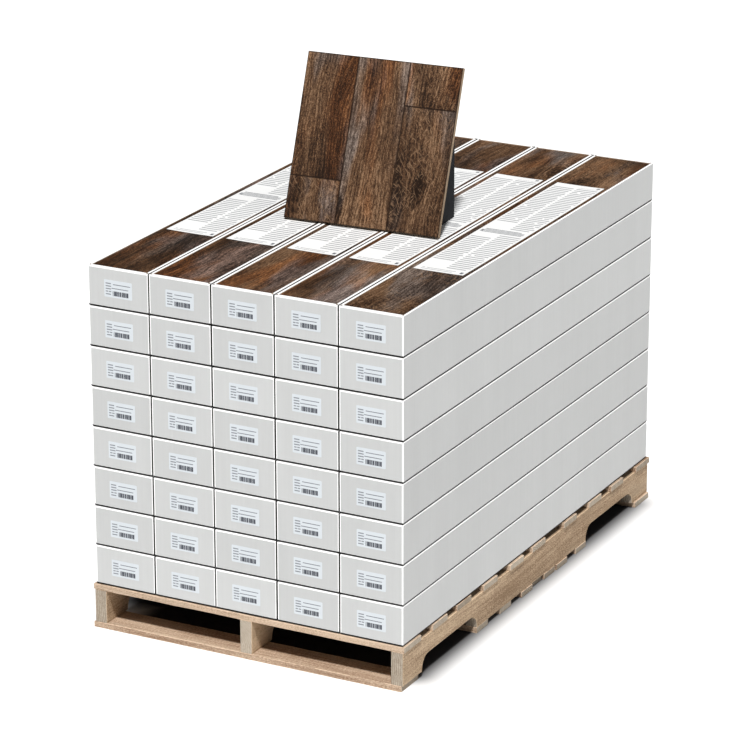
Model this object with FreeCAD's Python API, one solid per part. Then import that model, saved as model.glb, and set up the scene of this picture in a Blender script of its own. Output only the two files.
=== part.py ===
"""A pallet load of boxed laminate flooring with a display sample standing on it.

Forty cartons, five across and eight high, lie on a timber stringer pallet. Each carton is a
board tray whose top is a window edged by a narrow lip, so that the top plank shows. The top
layer also carries one printed insert sheet a carton, every carton has a label on its front end,
and a square sample of the same flooring leans back on a black folded easel.

Units are millimetres. +Z is up, +Y runs along the planks from the labelled front to the back,
and the origin is on the floor under the middle of the pallet.
"""

import FreeCAD
import Part
import math
import os

# Flooring planks
PLANK_WIDTH = 159.0
PLANK_LENGTH = 1380.0
PLANK_THICKNESS = 12.0
PLANKS_PER_CARTON = 8

# Cartons: a tray with a lipped window on top
BOARD_THICKNESS = 2.0
SIDE_CLEARANCE = 0.25
END_CLEARANCE = 0.5
LIP_WIDTH = 7.5

# The load
COLUMNS = 5
LAYERS = 8
COLUMN_GAP = 1.5
LOAD_SHIFT_X = 2.0
LOAD_SETBACK = 1.0

# Paper on the cartons
LABEL_WIDTH = 75.0
LABEL_HEIGHT = 42.0
PAPER_THICKNESS = 0.3
SHEET_LEFT_MARGIN = 13.0
SHEET_RIGHT_MARGIN = 7.5
SHEET_LENGTH = 790.0
SHEET_FRONT_MARGIN = 327.0

# Pallet
PALLET_WIDTH = 838.0
PALLET_LENGTH = 1397.0
STRINGER_THICKNESS = 31.0
STRINGER_HEIGHT = 83.0
STRINGER_INSET = 5.0
DECK_THICKNESS = 15.0
NOTCH_END_DISTANCE = 98.0
NOTCH_LENGTH = 288.0
NOTCH_DEPTH = 37.0
NOTCH_RADIUS = 33.0
LEAD_BOARD_WIDTH = 86.0
TOP_BOARD_WIDTH = 76.0
BOTTOM_BOARD_WIDTH = 62.0
TOP_BOARD_DRIFT = (4.0, -14.0, -22.0, -23.0, -40.0, -4.0, 5.0, -11.0)
BOTTOM_BOARD_DRIFT = (0.0, 36.0, 58.0, 30.0, 1.0, -23.0, 0.0)

# How much each board is sawn short at its left and right end, from front to back
TOP_BOARD_TRIM = ((2, 1), (5, 3), (0, 4), (4, 1), (6, 0), (1, 2), (3, 1), (0, 3), (6, 0), (2, 0))
BOTTOM_BOARD_TRIM = ((0, 9), (4, 5), (2, 6), (5, 3), (3, 10), (1, 4), (4, 2), (6, 4), (2, 0))

# Display sample on its easel
SAMPLE_SIZE = 406.0
SAMPLE_COLUMNS = 3
SAMPLE_SHORT_PIECE = 105.0
SAMPLE_BEVEL = 1.0
SAMPLE_TILT = 21.0
SAMPLE_YAW = 3.0
SAMPLE_CENTRE_COLUMN = 2.61
SAMPLE_FRONT = 536.0
EASEL_SHEET = 2.5
EASEL_SIDE_INSET = 40.0
EASEL_FOOT_DEPTH = 190.0
EASEL_BACK_EDGE_HEIGHT = 250.0
EASEL_TOP_MARGIN = 60.0

# Sizes that follow from the ones above
EASEL_FOOT_DROP = BOARD_THICKNESS - PAPER_THICKNESS
CARTON_WIDTH = PLANK_WIDTH + 2 * (SIDE_CLEARANCE + BOARD_THICKNESS)
CARTON_LENGTH = PLANK_LENGTH + 2 * (END_CLEARANCE + BOARD_THICKNESS)
PACK_HEIGHT = PLANKS_PER_CARTON * PLANK_THICKNESS
CARTON_HEIGHT = PACK_HEIGHT + 2 * BOARD_THICKNESS
COLUMN_PITCH = CARTON_WIDTH + COLUMN_GAP
WINDOW_WIDTH = CARTON_WIDTH - 2 * LIP_WIDTH
SHEET_WIDTH = WINDOW_WIDTH - SHEET_LEFT_MARGIN - SHEET_RIGHT_MARGIN
LOAD_WIDTH = COLUMNS * CARTON_WIDTH + (COLUMNS - 1) * COLUMN_GAP
LOAD_LEFT = LOAD_SHIFT_X - LOAD_WIDTH / 2
PALLET_FRONT = -PALLET_LENGTH / 2
LOAD_FRONT = PALLET_FRONT + LOAD_SETBACK
STRINGER_BOTTOM = DECK_THICKNESS
STRINGER_TOP = STRINGER_BOTTOM + STRINGER_HEIGHT
PALLET_TOP = STRINGER_TOP + DECK_THICKNESS
LOAD_TOP = PALLET_TOP + LAYERS * CARTON_HEIGHT


def box(low, size):
    """A box solid from its lowest corner and its size along X, Y and Z."""
    return Part.makeBox(*size, FreeCAD.Vector(*low))


def save(node, solids):
    """Write one node's solids to its own STEP file."""
    shape = solids[0] if len(solids) == 1 else Part.makeCompound(solids)
    shape.exportStep(os.path.join("parts", node + ".step"))


# Pallet ---------------------------------------------------------------------------------------

def notch(start, left):
    """The tool that cuts one fork notch through a stringer: open at the bottom, round-shouldered."""
    side = box((left - 1, start, STRINGER_BOTTOM - NOTCH_RADIUS),
               (STRINGER_THICKNESS + 2, NOTCH_LENGTH, NOTCH_DEPTH + NOTCH_RADIUS))
    shoulder_height = STRINGER_BOTTOM + NOTCH_DEPTH
    shoulders = [
        edge for edge in side.Edges
        if abs(edge.BoundBox.ZMin - shoulder_height) < 1e-6 and edge.BoundBox.YLength < 1e-6
    ]
    return side.makeFillet(NOTCH_RADIUS, shoulders)


def stringer(centre):
    """One notched stringer, running the whole length of the pallet."""
    left = centre - STRINGER_THICKNESS / 2
    beam = box((left, PALLET_FRONT, STRINGER_BOTTOM), (STRINGER_THICKNESS, PALLET_LENGTH, STRINGER_HEIGHT))
    front_notch = PALLET_FRONT + NOTCH_END_DISTANCE
    back_notch = -PALLET_FRONT - NOTCH_END_DISTANCE - NOTCH_LENGTH
    for start in (front_notch, back_notch):
        beam = beam.cut(notch(start, left))
    return beam


def spread(first, last, count, drift):
    """The starts of boards laid from first to last, each nailed down a little off its even place."""
    step = (last - first) / (count - 1)
    return [first + step * i + drift[i] for i in range(count)]


def with_lead_boards(starts, width):
    """(start, width) of every board of one deck: the narrow ones between two wide lead boards."""
    back_lead = -PALLET_FRONT - LEAD_BOARD_WIDTH
    narrow = [(start, width) for start in starts]
    return [(PALLET_FRONT, LEAD_BOARD_WIDTH), *narrow, (back_lead, LEAD_BOARD_WIDTH)]


def top_board_places():
    """The top deckboards, spaced along the whole pallet."""
    count = len(TOP_BOARD_DRIFT)
    back_lead = -PALLET_FRONT - LEAD_BOARD_WIDTH
    step = (back_lead - PALLET_FRONT) / (count + 1)
    starts = spread(PALLET_FRONT + step, back_lead - step, count, TOP_BOARD_DRIFT)
    return with_lead_boards(starts, TOP_BOARD_WIDTH)


def bottom_board_places():
    """The bottom deckboards: a lead board under each end leg, the rest under the leg in the middle."""
    first = PALLET_FRONT + NOTCH_END_DISTANCE + NOTCH_LENGTH
    last = -first - BOTTOM_BOARD_WIDTH
    starts = spread(first, last, len(BOTTOM_BOARD_DRIFT), BOTTOM_BOARD_DRIFT)
    return with_lead_boards(starts, BOTTOM_BOARD_WIDTH)


def deckboards(name, places, trims, bottom):
    """Write one node a board, each with its own saw length."""
    for i, (start, width) in enumerate(places):
        left_trim, right_trim = trims[i]
        left = left_trim - PALLET_WIDTH / 2
        length = PALLET_WIDTH - left_trim - right_trim
        save(f"{name}_{i + 1:02d}", [box((left, start, bottom), (length, width, DECK_THICKNESS))])


def pallet():
    """Three stringers, the top deck and the bottom deck."""
    outer = PALLET_WIDTH / 2 - STRINGER_INSET - STRINGER_THICKNESS / 2
    for side, centre in (("left", -outer), ("middle", 0.0), ("right", outer)):
        save("stringer_" + side, [stringer(centre)])
    deckboards("top_deckboard", top_board_places(), TOP_BOARD_TRIM, STRINGER_TOP)
    deckboards("bottom_deckboard", bottom_board_places(), BOTTOM_BOARD_TRIM, 0.0)


# Cartons --------------------------------------------------------------------------------------

def carton_corner(column, layer):
    """Lowest corner of a carton: column 0 is the left one, layer 0 the bottom one."""
    return LOAD_LEFT + column * COLUMN_PITCH, LOAD_FRONT, PALLET_TOP + layer * CARTON_HEIGHT


def carton(column, layer):
    """The folded board of one carton: floor, four walls and the lip round the window."""
    x, y, z = carton_corner(column, layer)
    outside = box((x, y, z), (CARTON_WIDTH, CARTON_LENGTH, CARTON_HEIGHT))
    inside = box((x + BOARD_THICKNESS, y + BOARD_THICKNESS, z + BOARD_THICKNESS),
                 (CARTON_WIDTH - 2 * BOARD_THICKNESS, CARTON_LENGTH - 2 * BOARD_THICKNESS, PACK_HEIGHT))
    window = box((x + LIP_WIDTH, y + LIP_WIDTH, z + PACK_HEIGHT),
                 (WINDOW_WIDTH, CARTON_LENGTH - 2 * LIP_WIDTH, CARTON_HEIGHT))
    return outside.cut(inside.fuse(window))


def planks(column, layer, first, count):
    """A block of count planks in one carton, from plank number first up."""
    x, y, z = carton_corner(column, layer)
    low = (x + BOARD_THICKNESS + SIDE_CLEARANCE,
           y + BOARD_THICKNESS + END_CLEARANCE,
           z + BOARD_THICKNESS + first * PLANK_THICKNESS)
    return box(low, (PLANK_WIDTH, PLANK_LENGTH, count * PLANK_THICKNESS))


def end_label(column, layer):
    """The paper label in the middle of one carton's front end."""
    x, y, z = carton_corner(column, layer)
    low = (x + (CARTON_WIDTH - LABEL_WIDTH) / 2, y - PAPER_THICKNESS, z + (CARTON_HEIGHT - LABEL_HEIGHT) / 2)
    return box(low, (LABEL_WIDTH, PAPER_THICKNESS, LABEL_HEIGHT))


def insert_sheet(column):
    """The instruction sheet that lies on the top plank, inside the window of a top carton."""
    x, y, z = carton_corner(column, LAYERS - 1)
    low = (x + LIP_WIDTH + SHEET_LEFT_MARGIN,
           y + SHEET_FRONT_MARGIN,
           z + BOARD_THICKNESS + PACK_HEIGHT)
    return box(low, (SHEET_WIDTH, SHEET_LENGTH, PAPER_THICKNESS))


def load():
    """Every carton with its planks, labels and insert sheets, a layer to a node."""
    columns = range(COLUMNS)
    top = LAYERS - 1
    for layer in range(LAYERS):
        hidden = PLANKS_PER_CARTON - (1 if layer == top else 0)
        save(f"cartons_layer_{layer + 1}", [carton(column, layer) for column in columns])
        save(f"plank_packs_layer_{layer + 1}", [planks(column, layer, 0, hidden) for column in columns])
    save("top_planks", [planks(column, top, PLANKS_PER_CARTON - 1, 1) for column in columns])
    save("insert_sheets", [insert_sheet(column) for column in columns])
    save("end_labels", [end_label(column, layer) for layer in range(LAYERS) for column in columns])


# Display sample -------------------------------------------------------------------------------

def place_sample(shape, tilted):
    """Move a shape from the sample's own frame, front bottom left corner at 0, onto the load."""
    shape.translate(FreeCAD.Vector(-SAMPLE_SIZE / 2, 0, 0))
    if tilted:
        shape.rotate(FreeCAD.Vector(0, 0, 0), FreeCAD.Vector(1, 0, 0), -SAMPLE_TILT)
        shape.translate(FreeCAD.Vector(0, 0, PLANK_THICKNESS * math.sin(math.radians(SAMPLE_TILT))))
    shape.rotate(FreeCAD.Vector(0, 0, 0), FreeCAD.Vector(0, 0, 1), SAMPLE_YAW)
    centre = LOAD_LEFT + SAMPLE_CENTRE_COLUMN * COLUMN_PITCH
    shape.translate(FreeCAD.Vector(centre, LOAD_FRONT + SAMPLE_FRONT, LOAD_TOP))
    return shape


def sample_piece(column, bottom, length):
    """One sawn piece of plank in the sample, its face edges bevelled as the flooring's are."""
    width = SAMPLE_SIZE / SAMPLE_COLUMNS
    piece = box((column * width, 0, bottom), (width, PLANK_THICKNESS, length))
    face_edges = [edge for edge in piece.Edges if edge.BoundBox.YMax < 1e-6]
    return place_sample(piece.makeChamfer(SAMPLE_BEVEL, face_edges), tilted=True)


def easel_wing(left):
    """One upright side of the easel: its foot on an insert sheet, its front edge up the sample's back."""
    tilt = math.radians(SAMPLE_TILT)
    front = PLANK_THICKNESS * math.cos(tilt)
    top = (SAMPLE_SIZE - EASEL_TOP_MARGIN) * math.cos(tilt)
    outline = [(front, 0), (front, -EASEL_FOOT_DROP), (EASEL_FOOT_DEPTH, -EASEL_FOOT_DROP),
               (EASEL_FOOT_DEPTH, EASEL_BACK_EDGE_HEIGHT), (front + top * math.tan(tilt), top), (front, 0)]
    face = Part.Face(Part.makePolygon([FreeCAD.Vector(left, y, z) for y, z in outline]))
    return place_sample(face.extrude(FreeCAD.Vector(EASEL_SHEET, 0, 0)), tilted=False)


def easel():
    """The folded easel: a back plate glued to the sample and a wing turned back at each side."""
    plate_width = SAMPLE_SIZE - 2 * EASEL_SIDE_INSET
    plate = box((EASEL_SIDE_INSET, PLANK_THICKNESS, 2 * EASEL_SHEET),
                (plate_width, EASEL_SHEET, SAMPLE_SIZE - EASEL_TOP_MARGIN - 2 * EASEL_SHEET))
    folded = place_sample(plate, tilted=True)
    for left in (EASEL_SIDE_INSET, SAMPLE_SIZE - EASEL_SIDE_INSET - EASEL_SHEET):
        folded = folded.fuse(easel_wing(left))
    return folded.removeSplitter()


def sample():
    """Three columns of flooring, the outer two jointed at opposite ends, on the easel."""
    long_piece = SAMPLE_SIZE - SAMPLE_SHORT_PIECE
    save("sample_left_lower", [sample_piece(0, 0, SAMPLE_SHORT_PIECE)])
    save("sample_left_upper", [sample_piece(0, SAMPLE_SHORT_PIECE, long_piece)])
    save("sample_middle", [sample_piece(1, 0, SAMPLE_SIZE)])
    save("sample_right_lower", [sample_piece(2, 0, long_piece)])
    save("sample_right_upper", [sample_piece(2, long_piece, SAMPLE_SHORT_PIECE)])
    save("sample_easel", [easel()])


os.makedirs("parts", exist_ok=True)
pallet()
load()
sample()
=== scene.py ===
"""Finishes a pallet load of boxed laminate flooring that a display sample stands on.

The load is forty white cartons on a timber pallet. Each top carton shows its dark oak plank with an
insert sheet on it, and the sample of the same flooring leans back on a black easel. All sizes are in
metres, with +Z up and +Y running along the planks away from the labelled ends.
"""

import logging
import math
import random
from dataclasses import dataclass, field
from enum import Enum
from typing import Any, Callable, Iterable

import bmesh
import bpy
from mathutils import Euler, Matrix, Vector


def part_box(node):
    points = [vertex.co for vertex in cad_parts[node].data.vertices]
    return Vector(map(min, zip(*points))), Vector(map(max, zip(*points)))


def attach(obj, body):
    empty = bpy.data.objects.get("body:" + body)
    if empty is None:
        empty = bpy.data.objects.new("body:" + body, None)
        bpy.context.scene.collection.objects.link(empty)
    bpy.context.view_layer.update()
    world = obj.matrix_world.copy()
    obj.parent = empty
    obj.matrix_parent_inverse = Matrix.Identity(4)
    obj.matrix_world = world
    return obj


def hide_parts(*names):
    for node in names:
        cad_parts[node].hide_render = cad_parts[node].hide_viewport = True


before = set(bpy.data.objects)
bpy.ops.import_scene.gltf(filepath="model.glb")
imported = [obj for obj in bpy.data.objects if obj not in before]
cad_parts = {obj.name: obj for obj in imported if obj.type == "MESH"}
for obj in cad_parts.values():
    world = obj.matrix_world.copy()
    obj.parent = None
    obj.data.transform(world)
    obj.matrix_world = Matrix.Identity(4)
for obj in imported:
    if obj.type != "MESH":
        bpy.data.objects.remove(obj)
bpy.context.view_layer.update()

LOG = logging.getLogger("flooring_load")
MM = 0.001
HAIR = MM / 10  # places closer than this count as level
WELD = MM / 100  # corners closer than this are one corner
SQUARE = 0.99  # a unit normal's part along an axis that its face looks along
ROOT = "root"

Piece, Face, Material = bpy.types.Object, bpy.types.MeshPolygon, bpy.types.Material
Node, Socket, Tree = bpy.types.Node, bpy.types.NodeSocket, bpy.types.NodeTree
Colour = tuple[float, float, float, float]
Box = tuple[Vector, Vector]
FaceTest = Callable[[bmesh.types.BMFace], bool]
EdgeTest = Callable[[bmesh.types.BMEdge], bool]
Place = Callable[[Vector, Vector], tuple[float, float]]


def rgb(red: float, green: float, blue: float) -> Colour:
    """An opaque colour in linear light."""
    return (red, green, blue, 1.0)


def scaled(colour: Colour, by: float) -> Colour:
    """A colour made lighter or darker."""
    return tuple(min(1.0, part * by) for part in colour[:3]) + (1.0,)


class Layer(str, Enum):
    """Names of the mesh layers that materials read."""

    UV = "metres"
    EDGE = "edge"
    TONE = "tone"


# Modelling ------------------------------------------------------------------------------------


class Bench:
    """The hand tools that every piece is modelled with."""

    @staticmethod
    def take(piece: Piece) -> None:
        """Make one piece the only selected and active one."""
        bpy.ops.object.select_all(action="DESELECT")
        piece.select_set(True)
        bpy.context.view_layer.objects.active = piece

    @staticmethod
    def block(name: str, low: Vector, high: Vector) -> Piece:
        """Add a plain block that the other tools then shape.

        Args:
            name: Name of the new piece.
            low: Its lowest corner.
            high: Its highest corner.

        Returns:
            The piece, with its place in its mesh.
        """
        bpy.ops.object.select_all(action="DESELECT")
        bpy.ops.mesh.primitive_cube_add(size=1.0, location=(low + high) / 2, scale=high - low)
        piece = bpy.context.object
        piece.name = piece.data.name = name
        Bench.settle(piece)
        return piece

    @staticmethod
    def settle(piece: Piece) -> None:
        """Move a piece's place into its mesh."""
        Bench.take(piece)
        bpy.ops.object.transform_apply(location=True, rotation=True, scale=True)

    @staticmethod
    def pick(piece: Piece, faces: FaceTest | None = None, edges: EdgeTest | None = None) -> None:
        """Enter edit mode with just the faces or edges that pass a test selected.

        Args:
            piece: The piece to work on.
            faces: Test for faces, or None to select no faces.
            edges: Test for edges, or None to select no edges.
        """
        Bench.take(piece)
        bpy.ops.object.mode_set(mode="EDIT")
        bpy.ops.mesh.select_mode(type="FACE" if faces else "EDGE")
        bpy.ops.mesh.select_all(action="DESELECT")
        mesh = bmesh.from_edit_mesh(piece.data)
        for face in mesh.faces if faces else ():
            face.select_set(faces(face))
        for edge in mesh.edges if edges else ():
            edge.select_set(edges(edge))
        bmesh.update_edit_mesh(piece.data)

    @staticmethod
    def leave() -> None:
        """Leave edit mode."""
        bpy.ops.object.mode_set(mode="OBJECT")

    @staticmethod
    def bevel(piece: Piece, edges: EdgeTest, width: float, segments: int = 2) -> None:
        """Round the edges that pass a test."""
        Bench.pick(piece, edges=edges)
        bpy.ops.mesh.bevel(offset=width, segments=segments, affect="EDGES", clamp_overlap=True)
        Bench.leave()

    @staticmethod
    def ease(piece: Piece, width: float, above: float) -> None:
        """Round every edge that turns by more than an angle in degrees."""
        Bench.modify(piece, "BEVEL", width=width, segments=2, limit_method="ANGLE",
                     angle_limit=math.radians(above))

    @staticmethod
    def modify(piece: Piece, kind: str, **settings: Any) -> None:
        """Add a modifier and apply it."""
        Bench.take(piece)
        modifier = piece.modifiers.new(kind.lower(), kind)
        for key, value in settings.items():
            setattr(modifier, key, value)
        bpy.ops.object.modifier_apply(modifier=modifier.name)

    @staticmethod
    def copy(piece: Piece, name: str, shift: Vector) -> Piece:
        """Copy a piece, with its own mesh, to another place."""
        twin = piece.copy()
        twin.data = piece.data.copy()
        twin.name = twin.data.name = name
        bpy.context.scene.collection.objects.link(twin)
        twin.data.transform(Matrix.Translation(shift))
        return twin

    @staticmethod
    def join(name: str, parts: list[Piece]) -> Piece:
        """Join parts into one piece."""
        Bench.take(parts[0])
        for part in parts[1:]:
            part.select_set(True)
        if len(parts) > 1:
            bpy.ops.object.join()
        parts[0].name = parts[0].data.name = name
        return parts[0]

    @staticmethod
    def drop(piece: Piece) -> None:
        """Delete a pattern piece that was only there to be copied."""
        bpy.data.objects.remove(piece, do_unlink=True)

    @staticmethod
    def from_node(node: str, name: str) -> Piece:
        """Copy a construction node and turn its loose triangles back into whole faces."""
        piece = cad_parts[node].copy()
        piece.data = piece.data.copy()
        piece.parent = None
        for key in [key for key in piece.keys() if key.startswith("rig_")]:
            del piece[key]
        piece.name = piece.data.name = name
        bpy.context.scene.collection.objects.link(piece)
        piece.data.materials.clear()
        Bench.pick(piece, faces=lambda face: True)
        bpy.ops.mesh.remove_doubles(threshold=WELD)
        bpy.ops.mesh.dissolve_limited(angle_limit=math.radians(1.0))
        Bench.leave()
        return piece

    @staticmethod
    def hold_inside(piece: Piece, box: Box) -> None:
        """Bring any corner that strayed past a box back onto it."""
        for vertex in piece.data.vertices:
            for axis in range(3):
                vertex.co[axis] = min(max(vertex.co[axis], box[0][axis]), box[1][axis])


class Marks:
    """Writes the layers that materials read: flat coordinates in metres, folded edges and tone."""

    @staticmethod
    def lay(piece: Piece, place: Place) -> None:
        """Give each face corner its flat coordinates.

        Args:
            piece: The piece to mark.
            place: Turns a corner's place and its face's normal into the two coordinates.
        """
        mesh = piece.data
        layer = mesh.uv_layers.get(Layer.UV.value) or mesh.uv_layers.new(name=Layer.UV.value)
        for face in mesh.polygons:
            for loop in face.loop_indices:
                corner = mesh.vertices[mesh.loops[loop].vertex_index].co
                layer.data[loop].uv = place(corner, face.normal)

    @staticmethod
    def paint(piece: Piece, layer: Layer, value: Callable[[Face], float]) -> None:
        """Give each face a number that its material reads."""
        mesh = piece.data
        store = mesh.attributes.get(layer.value) or mesh.attributes.new(layer.value, "FLOAT", "FACE")
        for face in mesh.polygons:
            store.data[face.index].value = value(face)

    @staticmethod
    def slots(piece: Piece, materials: Iterable[Material],
              choose: Callable[[Face], int] = lambda face: 0) -> None:
        """Give a piece its materials, and each face the one that a rule chooses."""
        piece.data.materials.clear()
        for material in materials:
            piece.data.materials.append(material)
        for face in piece.data.polygons:
            face.material_index = choose(face)


def square_on(normal: Vector) -> bool:
    """Whether a normal runs along an axis, so that its face isn't part of a rounded edge."""
    return max(abs(part) for part in normal) > 0.999


def level_at(height: float) -> EdgeTest:
    """A test for edges that lie at one height."""
    return lambda edge: all(abs(corner.co.z - height) < HAIR for corner in edge.verts)


def solids(node: str) -> list[Box]:
    """The box of each separate solid in a construction node, from left to right, front to back and up.

    Args:
        node: Name of the construction node.

    Returns:
        One lowest and highest corner for each solid.
    """
    mesh = bmesh.new()
    mesh.from_mesh(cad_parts[node].data)
    bmesh.ops.remove_doubles(mesh, verts=mesh.verts, dist=WELD)
    left = set(mesh.verts)
    boxes: list[Box] = []
    while left:
        group, edge_of_group = set(), [left.pop()]
        while edge_of_group:
            vertex = edge_of_group.pop()
            group.add(vertex)
            for edge in vertex.link_edges:
                other = edge.other_vert(vertex)
                if other in left:
                    left.remove(other)
                    edge_of_group.append(other)
        corners = [tuple(vertex.co) for vertex in group]
        boxes.append((Vector(map(min, zip(*corners))), Vector(map(max, zip(*corners)))))
    mesh.free()
    return sorted(boxes, key=lambda box: tuple(round(part, 4) for part in (box[0].z, box[0].x, box[0].y)))


def put_on_frame(piece: Piece, slot: str, *nodes: str) -> Piece:
    """Ride a finished piece on the load, hide the construction nodes it stands for and log its face count.
    """
    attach(piece, ROOT)
    if nodes:
        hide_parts(*nodes)
    LOG.info("%s: %d faces", piece.name, len(piece.data.polygons))
    return piece


# Shader building ------------------------------------------------------------------------------


class Graph:
    """A shader tree in the making, with one short call for each kind of node."""

    def __init__(self, tree: Tree) -> None:
        """Start on an empty or existing tree."""
        self.tree = tree

    def add(self, kind: str, feeds: dict[Any, Any] | None = None, **settings: Any) -> Node:
        """Add a node.

        Args:
            kind: The node's type.
            feeds: What goes into each of its inputs: a socket to link, or a plain value.
            settings: The node's own settings.

        Returns:
            The new node.
        """
        node = self.tree.nodes.new(kind)
        for key, value in settings.items():
            setattr(node, key, value)
        self.feed(node, feeds or {})
        return node

    def feed(self, node: Node, feeds: dict[Any, Any]) -> None:
        """Fill a node's inputs: a socket is linked and a plain value is set."""
        for key, value in feeds.items():
            if isinstance(value, Socket):
                self.tree.links.new(value, node.inputs[key])
            else:
                node.inputs[key].default_value = value

    def math(self, how: str, first: Any, second: Any = 0.0, clamp: bool = False) -> Socket:
        """A difference, test or other operation on two numbers."""
        return self.add("ShaderNodeMath", {0: first, 1: second}, operation=how, use_clamp=clamp).outputs[0]

    def times(self, first: Any, *others: Any) -> Socket:
        """The product of some numbers."""
        for other in others:
            first = self.math("MULTIPLY", first, other)
        return first

    def blend(self, *weighted: tuple[Any, float], start: float = 0.0) -> Socket:
        """The sum of several numbers, each with a plain weight, on top of a start value."""
        total: Any = start
        for value, weight in weighted:
            node = self.add("ShaderNodeMath", {0: value, 1: weight, 2: total}, operation="MULTIPLY_ADD")
            total = node.outputs[0]
        return total

    def stretch(self, vector: Any, scale: float | tuple[float, float, float],
                turn: float = 0.0, shift: Any = (0.0, 0.0, 0.0)) -> Socket:
        """Coordinates turned about Z by some degrees, then scaled and moved."""
        if turn:
            vector = self.add("ShaderNodeMapping", {
                "Vector": vector, "Rotation": (0.0, 0.0, math.radians(turn))}).outputs[0]
        sizes = scale if isinstance(scale, tuple) else (scale,) * 3
        feeds = {"Vector": vector, "Scale": sizes, "Location": shift}
        return self.add("ShaderNodeMapping", feeds).outputs[0]

    def point(self, x: Any = 0.0, y: Any = 0.0, z: Any = 0.0) -> Socket:
        """A vector made of three numbers."""
        return self.add("ShaderNodeCombineXYZ", {0: x, 1: y, 2: z}).outputs[0]

    def shifted(self, vector: Any, **by: Any) -> Socket:
        """Coordinates moved by numbers for x, y and z."""
        feeds = {0: vector, 1: self.point(**by)}
        return self.add("ShaderNodeVectorMath", feeds, operation="ADD").outputs[0]

    def noise(self, vector: Any, detail: float = 2.0, roughness: float = 0.5,
              distortion: float = 0.0) -> Socket:
        """Cloudy noise with one cloud to a unit."""
        feeds = {"Vector": vector, "Scale": 1.0, "Detail": detail, "Roughness": roughness,
                 "Distortion": distortion}
        return self.add("ShaderNodeTexNoise", feeds).outputs[0]

    def rise(self, value: Any, low: float, high: float, top: float = 1.0) -> Socket:
        """Zero below low, a smooth rise to top at high."""
        feeds = {"Value": value, "From Min": low, "From Max": high, "To Min": 0.0, "To Max": top}
        return self.add("ShaderNodeMapRange", feeds, interpolation_type="SMOOTHSTEP").outputs[0]

    def clouds(self, vector: Any, scale: tuple[float, float, float], shift: Any, low: float, high: float,
               detail: float = 3.0, top: float = 1.0) -> Socket:
        """A soft-edged mask of noise clouds."""
        return self.rise(self.noise(self.stretch(vector, scale, shift=shift), detail), low, high, top)

    def inside(self, place: Any, left: Any, right: Any, low: Any, high: Any) -> Socket:
        """One inside a rectangle and zero outside."""
        across, along = self.add("ShaderNodeSeparateXYZ", {0: place}).outputs[:2]
        return self.times(self.math("GREATER_THAN", across, left), self.math("LESS_THAN", across, right),
                          self.math("GREATER_THAN", along, low), self.math("LESS_THAN", along, high))

    def mix(self, share: Any, first: Any, second: Any, how: str = "MIX") -> Socket:
        """Two colours mixed by a share."""
        node = self.add("ShaderNodeMix", {0: share, 6: first, 7: second}, data_type="RGBA", blend_type=how)
        return node.outputs[2]

    def bump(self, height: Any, strength: float, distance: float, normal: Any = None) -> Socket:
        """A normal raised by a height, on top of another normal where one is given."""
        feeds = {"Height": height, "Strength": strength, "Distance": distance}
        if normal is not None:
            feeds["Normal"] = normal
        return self.add("ShaderNodeBump", feeds).outputs[0]

    def attribute(self, layer: Layer) -> Socket:
        """A number painted on the piece's faces."""
        return self.add("ShaderNodeAttribute", attribute_name=layer.value).outputs["Fac"]

    def flat(self) -> Socket:
        """The piece's flat coordinates in metres."""
        return self.add("ShaderNodeUVMap", uv_map=Layer.UV.value).outputs[0]

    def solid(self) -> Socket:
        """The object's coordinates in metres."""
        return self.add("ShaderNodeTexCoord").outputs["Object"]

    def effect(self, name: str, feeds: dict[str, Any]) -> Any:
        """The outputs of a shared effect, placed with its own values."""
        return self.add("ShaderNodeGroup", feeds, node_tree=Effects.get(name)).outputs


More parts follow.
